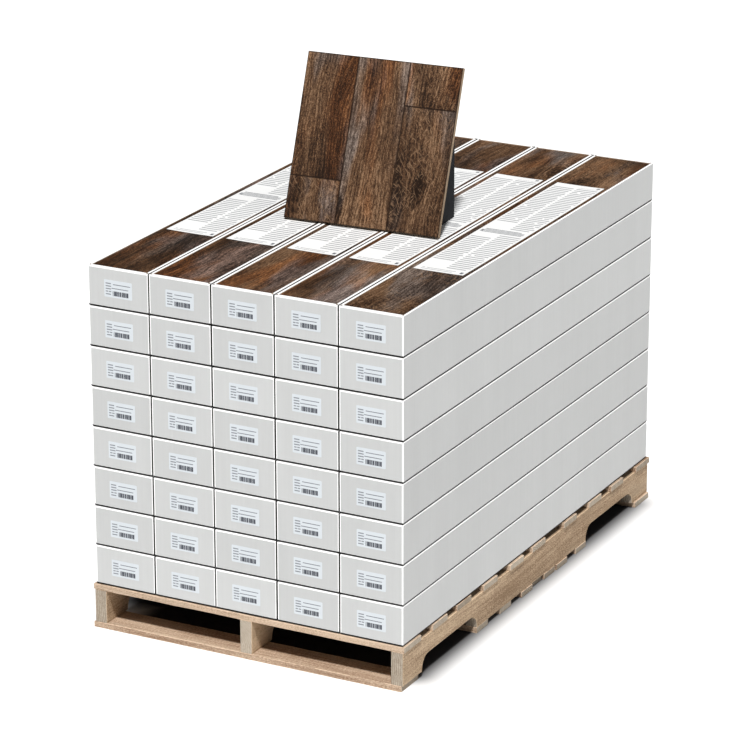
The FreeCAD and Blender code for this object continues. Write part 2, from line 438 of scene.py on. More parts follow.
class Effects:
    """Shader effects that several materials share, each built once."""

    _built: dict[str, Tree] = {}

    @classmethod
    def _start(cls, name: str, inputs: dict[str, Any], outputs: dict[str, str]
               ) -> tuple[Graph, Any, Node]:
        """Make an empty group with named sockets; an input's kind follows from its first value."""
        tree = bpy.data.node_groups.new(name, "ShaderNodeTree")
        kinds = {1: "NodeSocketFloat", 3: "NodeSocketVector", 4: "NodeSocketColor"}
        for key, value in inputs.items():
            width = len(value) if isinstance(value, tuple) else 1
            socket = tree.interface.new_socket(key, in_out="INPUT", socket_type=kinds[width])
            socket.default_value = value
        for key, kind in outputs.items():
            tree.interface.new_socket(key, in_out="OUTPUT", socket_type="NodeSocket" + kind)
        cls._built[name] = tree
        return Graph(tree), tree.nodes.new("NodeGroupInput").outputs, tree.nodes.new("NodeGroupOutput")

    @classmethod
    def get(cls, name: str) -> Tree:
        """A shared effect, built at its first use."""
        if name not in cls._built:
            getattr(cls, name)()
        return cls._built[name]

    @classmethod
    def oak_figure(cls) -> None:
        """Printed and embossed oak: streaks, growth lines, knots, pores and slanting saw marks.

        Place holds metres across and along the grain, with a seed in Z.
        """
        graph, given, made = cls._start(
            "oak_figure",
            {"Place": (0.0, 0.0, 0.0), "Deep": rgb(0.02, 0.01, 0.006), "Middle": rgb(0.1, 0.06, 0.035),
             "Pale": rgb(0.25, 0.16, 0.1), "Greying": 0.7, "Knots": 0.6, "Saw Marks": 0.4,
             "Contrast": 1.0, "Lift": 0.0},
            {"Colour": "Color", "Relief": "Float"})
        place = given["Place"]
        sway = graph.noise(graph.stretch(place, (6.0, 2.6, 1.0)), detail=2.0)
        swayed = graph.shifted(place, x=graph.blend((sway, 0.09), start=-0.045))
        broad = graph.noise(graph.stretch(swayed, (12.0, 2.4, 1.0)), detail=3.0, roughness=0.6)
        streak = graph.noise(graph.stretch(swayed, (95.0, 10.0, 2.0)), detail=5.0, roughness=0.72)
        fleck = graph.noise(graph.stretch(swayed, (420.0, 95.0, 3.0)), detail=4.0, roughness=0.85)
        speck = graph.stretch(swayed, (480.0, 290.0, 3.0), shift=(4.0, 4.0, 1.0))
        speck = graph.noise(speck, detail=2.0, roughness=0.8)
        growth = graph.add("ShaderNodeTexWave", {
            "Vector": graph.stretch(swayed, (1.0, 0.13, 1.0)), "Scale": 34.0, "Distortion": 9.0,
            "Detail": 3.0, "Detail Scale": 1.2}, bands_direction="X").outputs["Fac"]
        cells = graph.add("ShaderNodeTexVoronoi", {
            "Vector": graph.stretch(swayed, (7.5, 3.4, 1.0)), "Scale": 1.0, "Randomness": 1.0},
            voronoi_dimensions="2D")
        distance = graph.blend((cells.outputs["Distance"], 1.0), (fleck, 0.12), start=-0.06)
        chosen = graph.math("GREATER_THAN", graph.add(
            "ShaderNodeSeparateColor", {0: cells.outputs["Color"]}).outputs[0], 0.5)
        near = graph.math("SUBTRACT", 1.0, graph.rise(distance, 0.02, 0.22))
        knot = graph.times(near, chosen, given["Knots"])
        halo = graph.math("SINE", graph.times(distance, 80.0))
        rings = graph.times(halo, chosen, graph.math(
            "SUBTRACT", 1.0, graph.rise(distance, 0.12, 0.45)))
        patch = graph.clouds(place, (9.0, 5.0, 1.0), (3.0, 1.0, 0.0), 0.4, 0.58, detail=2.0)
        marks = None
        for slant, offset in ((32.0, 0.0), (-52.0, 5.0), (-28.0, 9.0)):
            bent = graph.shifted(place, x=graph.blend((sway, 0.02)), y=graph.blend((streak, 0.02)))
            bent = graph.stretch(bent, (300.0, 34.0, 3.0), turn=slant, shift=(offset, 0.0, 0.0))
            line = graph.rise(graph.noise(bent, 1.0), 0.62, 0.7)
            marks = line if marks is None else graph.math("MAXIMUM", marks, line)
        marks = graph.times(marks, patch, given["Saw Marks"])
        tone = graph.blend((broad, 1.9), (streak, 1.5), (fleck, 2.4), (speck, 1.7), (growth, 0.24),
                           (rings, 0.18), start=-3.87)
        tone = graph.blend((tone, given["Contrast"]), start=0.44)
        tone = graph.math("ADD", graph.math("SUBTRACT", tone, knot), given["Lift"])
        colour = graph.mix(graph.rise(tone, -0.1, 0.5), given["Deep"], given["Middle"])
        colour = graph.mix(graph.rise(tone, 0.4, 1.15), colour, given["Pale"])
        warm = graph.clouds(swayed, (11.0, 2.2, 1.0), (2.0, 9.0, 4.0), 0.47, 0.64)
        colour = graph.mix(graph.times(warm, 0.85), colour, rgb(1.25, 0.9, 0.62), how="MULTIPLY")
        greyed = graph.add("ShaderNodeHueSaturation", {
            "Saturation": 0.42, "Value": 1.1, "Color": colour}).outputs[0]
        grey = graph.clouds(swayed, (10.0, 2.6, 1.0), (7.0, 3.0, 2.0), 0.47, 0.62)
        colour = graph.mix(graph.times(grey, given["Greying"]), colour, greyed)
        pores = graph.clouds(swayed, (520.0, 60.0, 3.0), (1.0, 8.0, 0.0), 0.57, 0.65, detail=2.0, top=0.7)
        colour = graph.mix(pores, colour, given["Deep"])
        colour = graph.mix(graph.times(marks, 0.55), colour, given["Pale"])
        relief = graph.blend((fleck, 0.8), (streak, 0.4), (marks, 0.4), (pores, -0.4), (knot, -0.4))
        graph.feed(made, {"Colour": colour, "Relief": relief})

    @classmethod
    def sawn_grain(cls) -> None:
        """Rough sawn softwood: growth lines, knots, blade marks across the grain, stains and fuzz.

        Place holds metres along and across the grain, with a seed in Z.
        """
        graph, given, made = cls._start(
            "sawn_grain",
            {"Place": (0.0, 0.0, 0.0), "Deep": rgb(0.25, 0.15, 0.08), "Pale": rgb(0.6, 0.45, 0.3),
             "Stain": rgb(0.3, 0.25, 0.2), "Tone": 0.0, "Knots": 0.7},
            {"Colour": "Color", "Relief": "Float"})
        place = given["Place"]
        sway = graph.noise(graph.stretch(place, (2.2, 9.0, 1.0)), detail=2.0)
        swayed = graph.shifted(place, y=graph.blend((sway, 0.03), start=-0.015))
        broad = graph.noise(graph.stretch(swayed, (2.4, 16.0, 1.0)), detail=4.0, roughness=0.6)
        growth = graph.noise(graph.stretch(swayed, (5.0, 190.0, 2.0)), detail=4.0, roughness=0.6)
        fuzz = graph.noise(graph.stretch(place, (190.0, 420.0, 2.0)), detail=3.0, roughness=0.8)
        blade = graph.noise(graph.stretch(place, (420.0, 7.0, 1.0)), detail=1.0)
        cells = graph.add("ShaderNodeTexVoronoi", {
            "Vector": graph.stretch(swayed, (4.2, 14.0, 1.3)), "Scale": 1.0, "Randomness": 1.0})
        chosen = graph.math("GREATER_THAN", graph.add(
            "ShaderNodeSeparateColor", {0: cells.outputs["Color"]}).outputs[0], 0.72)
        knot = graph.math("SUBTRACT", 1.0, graph.rise(cells.outputs["Distance"], 0.05, 0.15))
        knot = graph.times(knot, chosen, given["Knots"])
        tone = graph.blend((broad, 1.2), (growth, 0.9), (fuzz, 2.3), (blade, 0.3), start=-1.83)
        tone = graph.math("ADD", tone, given["Tone"])
        colour = graph.mix(graph.rise(tone, 0.1, 0.95), given["Deep"], given["Pale"])
        stained = graph.clouds(place, (5.0, 17.0, 1.0), (4.0, 2.0, 5.0), 0.5, 0.75, top=0.5)
        colour = graph.mix(stained, colour, given["Stain"])
        colour = graph.mix(knot, colour, given["Deep"])
        relief = graph.blend((growth, 0.5), (fuzz, 0.6), (blade, 0.5), (knot, -0.3))
        graph.feed(made, {"Colour": colour, "Relief": relief})

    @classmethod
    def paper_fibre(cls) -> None:
        """The faint cloudiness and tooth of pressed paper fibre."""
        graph, given, made = cls._start("paper_fibre", {"Place": (0.0, 0.0, 0.0)},
                                        {"Cloud": "Float", "Tooth": "Float"})
        place = given["Place"]
        cloud = graph.blend((graph.noise(graph.stretch(place, 7.0), 3.0), 0.6),
                            (graph.noise(graph.stretch(place, 60.0), 2.0), 0.4))
        tooth = graph.noise(graph.stretch(place, 900.0), 2.0, 0.7)
        graph.feed(made, {"Cloud": cloud, "Tooth": tooth})

    @classmethod
    def edge_rub(cls) -> None:
        """A broken mask along marked edges, where handling rubs the surface."""
        graph, given, made = cls._start("edge_rub", {"Place": (0.0, 0.0, 0.0), "Edge": 0.0, "Break": 0.5},
                                        {"Mask": "Float"})
        broken = graph.noise(graph.stretch(given["Place"], 45.0), 4.0, 0.7)
        kept = graph.math("GREATER_THAN", broken, given["Break"])
        soft = graph.blend((kept, 0.6), (broken, 0.5))
        mask = graph.math("MULTIPLY", soft, given["Edge"], clamp=True)
        graph.feed(made, {"Mask": mask})

    @classmethod
    def print_block(cls) -> None:
        """A block of small made-up print: rows of broken dashes inside a rectangle."""
        graph, given, made = cls._start(
            "print_block",
            {"Place": (0.0, 0.0, 0.0), "Left": 0.0, "Right": 1.0, "Low": 0.0, "High": 1.0, "Row": 0.003,
             "Fill": 0.55, "Word": 0.006, "Seed": 0.0},
            {"Ink": "Float"})
        across, along = graph.add("ShaderNodeSeparateXYZ", {0: given["Place"]}).outputs[:2]
        inside = graph.inside(*(given[key] for key in ("Place", "Left", "Right", "Low", "High")))
        rows = graph.math("DIVIDE", graph.math("SUBTRACT", along, given["Low"]), given["Row"])
        number = graph.math("FLOOR", rows)
        stroke = graph.math("LESS_THAN", graph.math("FRACT", rows), given["Fill"])
        words = graph.math("DIVIDE", across, given["Word"])
        word = graph.noise(graph.point(words, graph.times(number, 7.31), given["Seed"]), 1.0)
        word = graph.math("GREATER_THAN", word, 0.29)
        length = graph.noise(graph.point(graph.times(number, 3.7), 0.5, given["Seed"]), 0.0)
        length = graph.blend((length, 0.4), start=0.78)
        width = graph.math("SUBTRACT", given["Right"], given["Left"])
        reach = graph.blend((width, length), start=given["Left"])
        ink = graph.times(inside, stroke, word, graph.math("LESS_THAN", across, reach))
        graph.feed(made, {"Ink": ink})


def surface(name: str, build: Callable[[Graph], dict[str, Any]], **plain: Any) -> Material:
    """Make a material around one Principled shader.

    Args:
        name: The material's name.
        build: Adds the nodes and returns what feeds each of the shader's inputs.
        plain: Values that are the same all over, by socket name with _ for a space.

    Returns:
        The material.
    """
    material = bpy.data.materials.new(name)
    material.use_nodes = True
    shader = material.node_tree.nodes["Principled BSDF"]
    for key, value in plain.items():
        shader.inputs[key.replace("_", " ")].default_value = value
    graph = Graph(material.node_tree)
    graph.feed(shader, build(graph))
    return material


# Finishes -------------------------------------------------------------------------------------


@dataclass(frozen=True)
class OakFinish:
    """The printed oak face of one plank; each plank is a different print."""

    name: str
    seed: float
    deep: Colour = rgb(0.016, 0.008, 0.0045)
    middle: Colour = rgb(0.092, 0.046, 0.023)
    pale: Colour = rgb(0.3, 0.178, 0.1)
    greying: float = 0.75
    knots: float = 0.6
    saw_marks: float = 0.3
    contrast: float = 1.0
    lift: float = 0.0

    def material(self) -> Material:
        """Build the face material."""
        def build(graph: Graph) -> dict[str, Any]:
            start = (self.seed, self.seed * 1.7, self.seed)
            place = graph.stretch(graph.flat(), 1.0, shift=start)
            figure = graph.effect("oak_figure", {
                "Place": place, "Deep": self.deep, "Middle": self.middle, "Pale": self.pale,
                "Greying": self.greying, "Knots": self.knots, "Saw Marks": self.saw_marks,
                "Contrast": self.contrast, "Lift": self.lift})
            seam = graph.attribute(Layer.EDGE)
            colour = graph.mix(graph.times(seam, 0.75), figure["Colour"], self.deep)
            rough = graph.blend((figure["Relief"], 0.25), start=0.4)
            return {"Base Color": colour,
                    "Roughness": rough,
                    "Normal": graph.bump(figure["Relief"], 0.7, 1.2 * MM)}
        return surface(self.name, build, Specular_IOR_Level=0.12)


@dataclass(frozen=True)
class TimberFinish:
    """Sawn pallet timber, on faces along the grain."""

    name: str
    deep: Colour
    pale: Colour
    stain: Colour
    knots: float = 0.7

    def material(self) -> Material:
        """Build the long-grain material."""
        def build(graph: Graph) -> dict[str, Any]:
            tone = graph.attribute(Layer.TONE)
            place = graph.shifted(graph.flat(), z=graph.times(tone, 37.0))
            grain = graph.effect("sawn_grain", {
                "Place": place, "Deep": self.deep, "Pale": self.pale, "Stain": self.stain,
                "Tone": graph.times(tone, 0.35), "Knots": self.knots})
            rub = graph.effect("edge_rub", {
                "Place": graph.solid(), "Edge": graph.attribute(Layer.EDGE), "Break": 0.45})
            pale_edge = scaled(self.pale, 1.25)
            colour = graph.mix(rub["Mask"], grain["Colour"], pale_edge)
            return {"Base Color": colour,
                    "Normal": graph.bump(grain["Relief"], 0.6, 0.9 * MM)}
        return surface(self.name, build, Roughness=0.85, Specular_IOR_Level=0.25)


@dataclass(frozen=True)
class EndGrainFinish:
    """The sawn end of a pallet board: growth rings cut across, rough and pale."""

    name: str
    deep: Colour = rgb(0.24, 0.19, 0.14)
    pale: Colour = rgb(0.5, 0.43, 0.345)

    def material(self) -> Material:
        """Build the end-grain material."""
        def build(graph: Graph) -> dict[str, Any]:
            tone = graph.attribute(Layer.TONE)
            pith = {"x": graph.times(tone, 0.05), "y": graph.blend((tone, 0.04), start=-0.06)}
            place = graph.shifted(graph.flat(), **pith)
            rings = graph.add("ShaderNodeTexWave", {
                "Vector": place, "Scale": 60.0, "Distortion": 2.5, "Detail": 2.0, "Detail Scale": 2.0},
                wave_type="RINGS", rings_direction="Z").outputs["Fac"]
            pits = graph.noise(graph.stretch(graph.solid(), 420.0), 3.0, 0.75)
            cloud = graph.noise(graph.stretch(graph.solid(), 70.0), 3.0, 0.6)
            shade = graph.blend((rings, 0.35), (pits, 0.9), (cloud, 0.6), (tone, 0.2), start=-0.45)
            colour = graph.mix(graph.rise(shade, 0.05, 0.95), self.deep, self.pale)
            rough = graph.blend((pits, 1.0), (rings, 0.3))
            return {"Base Color": colour,
                    "Normal": graph.bump(rough, 0.8, 1.2 * MM)}
        return surface(self.name, build, Roughness=0.92, Specular_IOR_Level=0.2)


@dataclass(frozen=True)
class BoardFinish:
    """The white-faced fluted board of a carton, with a bare white line along each fold that also serves as
    a painted highlight, and painted shade on the folds that face into gaps.
    """

    name: str = "carton_board"
    face: Colour = rgb(0.532, 0.536, 0.53)
    # Bare white board along the folds, also standing in as their painted highlight.
    fold: Colour = rgb(0.97, 0.965, 0.955)
    # Painted shade: near-black on the foot folds and on the folds that turn into the gaps between cartons.
    shade: Colour = rgb(0.012, 0.011, 0.01)

    def material(self) -> Material:
        """Build the board material."""
        def build(graph: Graph) -> dict[str, Any]:
            place = graph.solid()
            fibre = graph.effect("paper_fibre", {"Place": place})
            flutes = graph.noise(graph.stretch(place, (210.0, 210.0, 5.0)), 2.0)
            wide = graph.noise(graph.stretch(place, (16.0, 16.0, 1.6), shift=(2.0, 0.0, 0.0)), 2.0)
            cloud = graph.blend((fibre["Cloud"], 0.07), (flutes, 0.07), (wide, 0.08),
                                (graph.attribute(Layer.TONE), 0.035), start=0.89)
            colour = graph.mix(1.0, self.face, graph.add(
                "ShaderNodeCombineColor", {0: cloud, 1: cloud, 2: cloud}).outputs[0], how="MULTIPLY")
            edge = graph.attribute(Layer.EDGE)
            # Edge mark 1 gives the white fold line with its painted highlight; -1 gives painted shade.
            colour = graph.mix(graph.math("MAXIMUM", edge, 0.0), colour, self.fold)
            colour = graph.mix(graph.math("MAXIMUM", graph.times(edge, -1.0), 0.0), colour, self.shade)
            height = graph.blend((fibre["Tooth"], 0.2), (flutes, 0.5))
            rough = graph.blend((fibre["Cloud"], 0.2), start=0.6)
            return {"Base Color": colour,
                    "Normal": graph.bump(height, 0.12, 0.4 * MM),
                    "Roughness": rough}
        return surface(self.name, build, Specular_IOR_Level=0.06)


@dataclass(frozen=True)
class KraftFinish:
    """The brown cut edge and inside of the board."""

    name: str = "kraft_board"
    colour: Colour = rgb(0.5, 0.36, 0.25)

    def material(self) -> Material:
        """Build the raw board material."""
        def build(graph: Graph) -> dict[str, Any]:
            place = graph.solid()
            fibre = graph.effect("paper_fibre", {"Place": place})
            dark = scaled(self.colour, 0.6)
            colour = graph.mix(graph.rise(fibre["Cloud"], 0.3, 0.7), dark, self.colour)
            return {"Base Color": colour,
                    "Normal": graph.bump(fibre["Tooth"], 0.3, 0.3 * MM)}
        return surface(self.name, build, Roughness=0.8, Specular_IOR_Level=0.2)


@dataclass(frozen=True)
class CoreFinish:
    """Dense fibreboard, as it shows on the sawn edges of the flooring."""

    name: str = "fibreboard_core"
    pale: Colour = rgb(0.47, 0.35, 0.24)
    deep: Colour = rgb(0.3, 0.21, 0.135)

    def material(self) -> Material:
        """Build the core material."""
        def build(graph: Graph) -> dict[str, Any]:
            place = graph.solid()
            speck = graph.noise(graph.stretch(place, 800.0), 3.0, 0.8)
            cloud = graph.noise(graph.stretch(place, (40.0, 40.0, 90.0)), 3.0)
            shade = graph.blend((speck, 0.9), (cloud, 0.6), start=-0.25)
            return {"Base Color": graph.mix(graph.rise(shade, 0.1, 0.9), self.deep, self.pale),
                    "Normal": graph.bump(speck, 0.4, 0.3 * MM)}
        return surface(self.name, build, Roughness=0.8, Specular_IOR_Level=0.2)


@dataclass(frozen=True)
class PrintBlock:
    """One block of made-up print on a sheet or label, in metres from its front left corner."""

    left: float
    right: float
    low: float
    high: float
    row: float
    fill: float
    word: float
    strength: float


def print_area(left: float, right: float, low: float, high: float, row: float = 14.0, fill: float = 0.45,
               word: float = 24.0, strength: float = 0.62) -> PrintBlock:
    """A block of print, with its sizes given in millimetres."""
    return PrintBlock(left * MM, right * MM, low * MM, high * MM, row * MM, fill, word * MM, strength)


@dataclass(frozen=True)
class PrintedFinish:
    """Paper with blocks of made-up print, plain dark marks and perhaps a bar code."""

    name: str
    paper: Colour
    ink: Colour
    blocks: tuple[PrintBlock, ...]
    marks: tuple[PrintBlock, ...] = ()
    bars: PrintBlock | None = None

    def material(self) -> Material:
        """Build the printed material."""
        def build(graph: Graph) -> dict[str, Any]:
            place = graph.flat()
            fibre = graph.effect("paper_fibre", {"Place": graph.solid()})
            ink: Any = 0.0
            for index, block in enumerate(self.blocks):
                text = graph.effect("print_block", {
                    "Place": place, "Left": block.left, "Right": block.right, "Low": block.low,
                    "High": block.high, "Row": block.row, "Fill": block.fill, "Word": block.word,
                    "Seed": float(index)})
                ink = graph.math("MAXIMUM", ink, graph.times(text["Ink"], block.strength))
            for block in self.marks:
                inside = graph.inside(place, block.left, block.right, block.low, block.high)
                ink = graph.math("MAXIMUM", ink, graph.times(inside, block.strength))
            if self.bars:
                bars = self.bars
                across = graph.add("ShaderNodeSeparateXYZ", {0: place}).outputs[0]
                stripe = graph.noise(graph.point(graph.math("DIVIDE", across, bars.word)), 2.0, 0.8)
                stripe = graph.math("GREATER_THAN", stripe, 1.0 - bars.fill)
                inside = graph.inside(place, bars.left, bars.right, bars.low, bars.high)
                ink = graph.math("MAXIMUM", ink, graph.times(stripe, inside, bars.strength))
            cloud = graph.rise(fibre["Cloud"], 0.3, 0.7, 0.5)
            dim = scaled(self.paper, 0.93)
            colour = graph.mix(ink, graph.mix(cloud, self.paper, dim), self.ink)
            return {"Base Color": colour,
                    "Normal": graph.bump(fibre["Tooth"], 0.1, 0.2 * MM)}
        return surface(self.name, build, Roughness=0.55, Specular_IOR_Level=0.35)


@dataclass(frozen=True)
class EaselFinish:
    """Black moulded sheet with a fine leathery grain and paler rubbed edges."""

    name: str = "easel_black"
    black: Colour = rgb(0.012, 0.013, 0.016)
    rubbed: Colour = rgb(0.07, 0.07, 0.075)

    def material(self) -> Material:
        """Build the easel material."""
        def build(graph: Graph) -> dict[str, Any]:
            place = graph.solid()
            rub = graph.effect("edge_rub", {
                "Place": place, "Edge": graph.attribute(Layer.EDGE), "Break": 0.4})
            grain = graph.add("ShaderNodeTexVoronoi", {"Vector": place, "Scale": 700.0}).outputs["Distance"]
            cloud = graph.noise(graph.stretch(place, 25.0), 3.0)
            return {"Base Color": graph.mix(rub["Mask"], self.black, self.rubbed),
                    "Normal": graph.bump(grain, 0.3, 0.2 * MM),
                    "Roughness": graph.blend((cloud, 0.25), start=0.5)}
        return surface(self.name, build, Specular_IOR_Level=0.12)


# The load's sub-assemblies --------------------------------------------------------------------


@dataclass
class Pallet:
    """Three notched stringers with a deck of boards above and below them.

    A face counts as looking along an axis when its unit normal's part along it is over a limit.
    """

    top_boards: int = 10
    bottom_boards: int = 9
    round_over: float = 1.3 * MM
    warp: float = 0.7 * MM
    segments: int = 14
    seed: int = 11
    side_figure: float = 0.3
    looks_along: float = 0.7
    sawn_across: float = 0.75
    unbroken: float = 0.98
    beams: TimberFinish = TimberFinish(
        "stringer_timber", rgb(0.22, 0.14, 0.08), rgb(0.56, 0.415, 0.275), rgb(0.42, 0.32, 0.22), knots=0.6)
    boards: TimberFinish = TimberFinish(
        "deckboard_timber", rgb(0.23, 0.135, 0.08), rgb(0.6, 0.455, 0.33), rgb(0.36, 0.3, 0.235))
    ends: EndGrainFinish = EndGrainFinish("pallet_end_grain")

    def build(self) -> None:
        """Model and dress every stringer and board."""
        chance = random.Random(self.seed)
        end = self.ends.material()
        beam, board = self.beams.material(), self.boards.material()
        for side in ("left", "middle", "right"):
            self._stringer("stringer_" + side, [beam, end], chance)
        for name, count in (("top_deckboard", self.top_boards), ("bottom_deckboard", self.bottom_boards)):
            for number in range(1, count + 1):
                self._board(f"{name}_{number:02d}", [board, end], chance)

    def _stringer(self, node: str, materials: list[Material], chance: random.Random) -> None:
        """One stringer: its notched outline from the frame, with its sawn edges eased."""
        piece = Bench.from_node(node, node + "_timber")
        Bench.ease(piece, self.round_over, 35.0)
        self._finish(piece, node, "pallet_stringer_wood", materials, 1, chance)

    def _board(self, node: str, materials: list[Material], chance: random.Random) -> None:
        """One deckboard: a sawn board, a little uneven, with eased edges."""
        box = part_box(node)
        piece = Bench.block(node + "_timber", *box)
        long_edges: EdgeTest = lambda edge: abs(edge.verts[0].co.x - edge.verts[1].co.x) > 0.1
        Bench.pick(piece, edges=long_edges)
        bpy.ops.mesh.subdivide(number_cuts=self.segments)
        bpy.ops.mesh.select_all(action="SELECT")
        bpy.ops.transform.vertex_random(offset=self.warp, seed=chance.randrange(1000), normal=0.0)
        Bench.leave()
        Bench.ease(piece, self.round_over, 45.0)
        Bench.hold_inside(piece, box)
        self._finish(piece, node, "pallet_board_wood", materials, 0, chance)

    def _finish(self, piece: Piece, node: str, slot: str, materials: list[Material],
                grain: int, chance: random.Random) -> None:
        """Mark the grain, tone and edges, and put the piece on the frame.

        Args:
            piece: The timber piece.
            node: The construction node it stands for.
            slot: Its material slot; not used.
            materials: The long-grain and the end-grain material.
            grain: The axis that the grain runs along, 0 for X and 1 for Y.
            chance: Source of this piece's tone and of where its figure starts.
        """
        across = 1 - grain
        tone = chance.uniform(-1.0, 1.0)
        start = chance.uniform(0.0, 5.0)

        def place(corner: Vector, normal: Vector) -> tuple[float, float]:
            if abs(normal[grain]) > self.looks_along:
                return corner[across], corner.z
            if abs(normal[across]) > self.looks_along:
                return corner[grain] + start, corner.z + self.side_figure
            return corner[grain] + start, corner[across]

        Marks.lay(piece, place)
        Marks.paint(piece, Layer.TONE, lambda face: tone)
        Marks.paint(piece, Layer.EDGE, lambda face: float(max(map(abs, face.normal)) <= self.unbroken))
        Marks.slots(piece, materials, lambda face: int(abs(face.normal[grain]) > self.sawn_across))
        put_on_frame(piece, slot, node)


@dataclass
class Cartons:
    """Forty trays of white board, each with a lip round its open top."""

    layers: int = 8
    board: float = 2.0 * MM
    lip: float = 7.5 * MM
    outer_lip: float = 3.6 * MM
    upright_fold: float = 1.2 * MM
    top_fold: float = 1.4 * MM
    foot_fold: float = 5.4 * MM
    # Width of the bare white border on the front, which also stands in as its painted highlight.
    white_line: float = 2.2 * MM
    slack: float = 0.25 * MM
    seed: int = 5
    finish: BoardFinish = BoardFinish()
    raw: KraftFinish = KraftFinish()

    def build(self) -> None:
        """Model one tray, copy it to every place and join each layer."""
        chance = random.Random(self.seed)
        materials = [self.finish.material(), self.raw.material()]
        first = solids("cartons_layer_1")[0]
        pattern = self._tray(first, materials)
        for layer in range(1, self.layers + 1):
            node = f"cartons_layer_{layer}"
            trays, places = [], solids(node)
            for number, box in enumerate(places, 1):
                shift = box[0] - first[0] + Vector((chance.uniform(-self.slack, self.slack),
                                                   chance.uniform(-self.slack, self.slack), 0.0))
                tray = Bench.copy(pattern, f"tray_{layer}_{number}", shift)
                tone = chance.uniform(-1.0, 1.0)
                Marks.paint(tray, Layer.TONE, lambda face, tone=tone: tone)
                self._shade_gaps(tray, number > 1, number < len(places))
                if number == len(places):
                    self._trim_lip(tray, box[1].x - self.lip)
                trays.append(tray)
            put_on_frame(Bench.join(f"carton_trays_{layer}", trays), "carton_board", node)
        Bench.drop(pattern)

    def _tray(self, box: Box, materials: list[Material]) -> Piece:
        """Model one tray: folds eased, top opened to a window, walls given the board's thickness."""
        low, high = box
        piece = Bench.block("tray_pattern", low, high)
        is_upright: EdgeTest = lambda edge: abs(edge.verts[0].co.z - edge.verts[1].co.z) > self.lip
        for edges, fold in ((level_at(low.z), self.foot_fold), (is_upright, self.upright_fold),
                            (level_at(high.z), self.top_fold)):
            Bench.bevel(piece, edges, fold)
        Bench.pick(piece, faces=lambda face: face.normal.y < -SQUARE)
        bpy.ops.mesh.inset(thickness=self.white_line, depth=0.0)
        Bench.leave()
        Bench.pick(piece, faces=lambda face: face.normal.z > SQUARE)
        bpy.ops.mesh.inset(thickness=self.lip - self.top_fold, depth=0.0)
        bpy.ops.mesh.delete(type="FACE")
        Bench.leave()
        reach = self.foot_fold + self.white_line + HAIR
        # Folds get bare white with a painted highlight; the foot fold between layers gets painted shade.
        Marks.paint(piece, Layer.EDGE, lambda face: self._fold_mark(face, box, reach))
        Marks.slots(piece, materials)
        Bench.modify(piece, "SOLIDIFY", thickness=self.board, offset=-1.0, use_even_offset=True,
                     material_offset=1, material_offset_rim=1)
        return piece

    def _trim_lip(self, tray: Piece, edge: float) -> None:
        """Draw the window's edge at one place in X out towards the wall, where the last lip is narrower."""
        for vertex in tray.data.vertices:
            if abs(vertex.co.x - edge) < 1.5 * MM:
                vertex.co.x += self.lip - self.outer_lip

    @staticmethod
    def _shade_gaps(tray: Piece, on_left: bool, on_right: bool) -> None:
        """Paint shade on the folds that turn into the gap to a neighbour."""
        marks = tray.data.attributes[Layer.EDGE.value].data
        for face in tray.data.polygons:
            into_gap = (on_left and face.normal.x < -0.3) or (on_right and face.normal.x > 0.3)
            if into_gap and abs(face.normal.z) < 0.95:
                marks[face.index].value = -1.0

    def _fold_mark(self, face: Face, box: Box, reach: float) -> float:
        """1 where the fold shows as a bare white line with a painted highlight, -1 for painted shade on the
        foot fold, 0 elsewhere.
        """
        low, high = box
        middle = face.center
        if middle.z < low.z + self.foot_fold:
            return -1.0
        if face.normal.z > SQUARE or not square_on(face.normal):
            return 1.0
        if face.normal.y < -SQUARE:
            border = face.area < 0.5 * (high.x - low.x) * (high.z - low.z)
            return 1.0 if border and middle.z > low.z + reach else 0.0
        return 0.0


@dataclass
class FlooringFaces:
    """The top planks that show in the windows of the top cartons."""

    layers: int = 8
    seam: float = 0.8 * MM
    core: CoreFinish = CoreFinish()
    finishes: tuple[OakFinish, ...] = (
        OakFinish("oak_knotty", 3.1, knots=1.0, saw_marks=0.1, contrast=1.1, lift=-0.18),
        OakFinish("oak_streaked", 8.4, pale=rgb(0.27, 0.14, 0.065), knots=0.4, saw_marks=0.1, contrast=1.2,
                  lift=-0.24),
        OakFinish("oak_even", 14.2, knots=0.35, saw_marks=0.15, contrast=0.9, lift=-0.06),
        OakFinish("oak_grey", 21.7, greying=1.0, knots=0.35, saw_marks=0.25, lift=0.06),
        OakFinish("oak_sawn", 30.3, knots=0.5, saw_marks=1.0, contrast=1.1, lift=-0.12),
    )

    def build(self) -> None:
        """Model each plank with its own print."""
        core = self.core.material()
        for number, (box, finish) in enumerate(zip(solids("top_planks"), self.finishes), 1):
            low, high = box
            piece = Bench.block(f"top_plank_{number}", low, high)
            Bench.bevel(piece, level_at(high.z), self.seam)
            Marks.lay(piece, lambda corner, normal, low=low: (corner.x - low.x, corner.y - low.y))
            Marks.paint(piece, Layer.EDGE, lambda face: 0.0 if square_on(face.normal) else 1.0)
            Marks.slots(piece, [finish.material(), core], lambda face: 0 if face.normal.z > 0.1 else 1)
            put_on_frame(piece, "laminate_face", "top_planks")
        for layer in range(1, self.layers + 1):
            Marks.slots(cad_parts[f"plank_packs_layer_{layer}"], [core])


